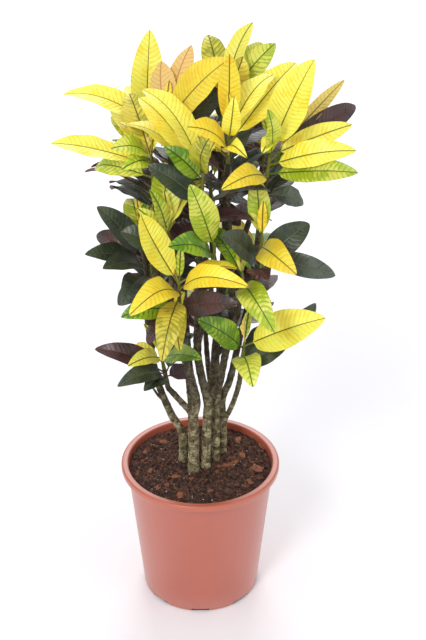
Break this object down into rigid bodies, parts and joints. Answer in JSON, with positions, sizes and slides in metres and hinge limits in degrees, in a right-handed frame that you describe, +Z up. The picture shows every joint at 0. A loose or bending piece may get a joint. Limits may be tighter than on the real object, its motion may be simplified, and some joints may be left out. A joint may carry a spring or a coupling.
{
  "type": "potted croton",
  "caption": "Bushy croton houseplant with yellow young leaves above dark green and maroon ones, on woody stems in a round terracotta-coloured nursery pot.",
  "frame": {"origin": "middle of the pot's flat underside, on the pot's axis", "axes": "+Z up along the pot's axis, the fullest side of the plant faces -Y, +X to the right seen from that side"},
  "size_m": [0.4677, 0.4445, 0.9898],
  "materials": {
    "terracotta_plastic": "satin moulded terracotta-coloured plastic",
    "potting_soil": "damp peat with bark chips and perlite",
    "bark": "rough grey-brown bark with leaf scars",
    "young_leaf": "glossy leathery leaf, yellow with green margins and veins",
    "mature_leaf": "glossy leathery leaf, dark green to maroon"
  },
  "bodies": {
    "root": {"pot": "terracotta_plastic", "soil": "potting_soil", "stem_front": "bark", "stem_left": "bark", "stem_middle": "bark", "stem_right": "bark", "stem_far_right": "bark", "stem_back_left": "bark", "stem_back_right": "bark", "mature_top_left": "mature_leaf", "young_top_left": "young_leaf", "mature_top_back": "mature_leaf", "young_top_back": "young_leaf", "mature_top_right": "mature_leaf", "young_top_right": "young_leaf", "mature_upper_right": "mature_leaf", "young_upper_right": "young_leaf", "mature_top_front": "mature_leaf", "young_top_front": "young_leaf", "mature_upper_left": "mature_leaf", "young_upper_left": "young_leaf", "mature_front_left": "mature_leaf", "young_front_left": "young_leaf", "mature_front_middle": "mature_leaf", "young_front_middle": "young_leaf", "mature_middle_left": "mature_leaf", "young_middle_left": "young_leaf", "mature_low_front": "mature_leaf", "young_low_front": "young_leaf", "mature_middle_right": "mature_leaf", "young_middle_right": "young_leaf", "mature_low_middle": "mature_leaf", "young_low_middle": "young_leaf", "mature_low_right": "mature_leaf", "young_low_right": "young_leaf", "mature_low_left": "mature_leaf", "young_low_left": "young_leaf", "mature_back_left_top": "mature_leaf", "young_back_left_top": "young_leaf", "mature_back_right_top": "mature_leaf", "young_back_right_top": "young_leaf", "mature_back_middle": "mature_leaf", "young_back_middle": "young_leaf", "mature_back_left_low": "mature_leaf", "young_back_left_low": "young_leaf", "mature_back_right_low": "mature_leaf", "young_back_right_low": "young_leaf", "mature_back_low": "mature_leaf", "young_back_low": "young_leaf"}
  },
  "joints": []
}
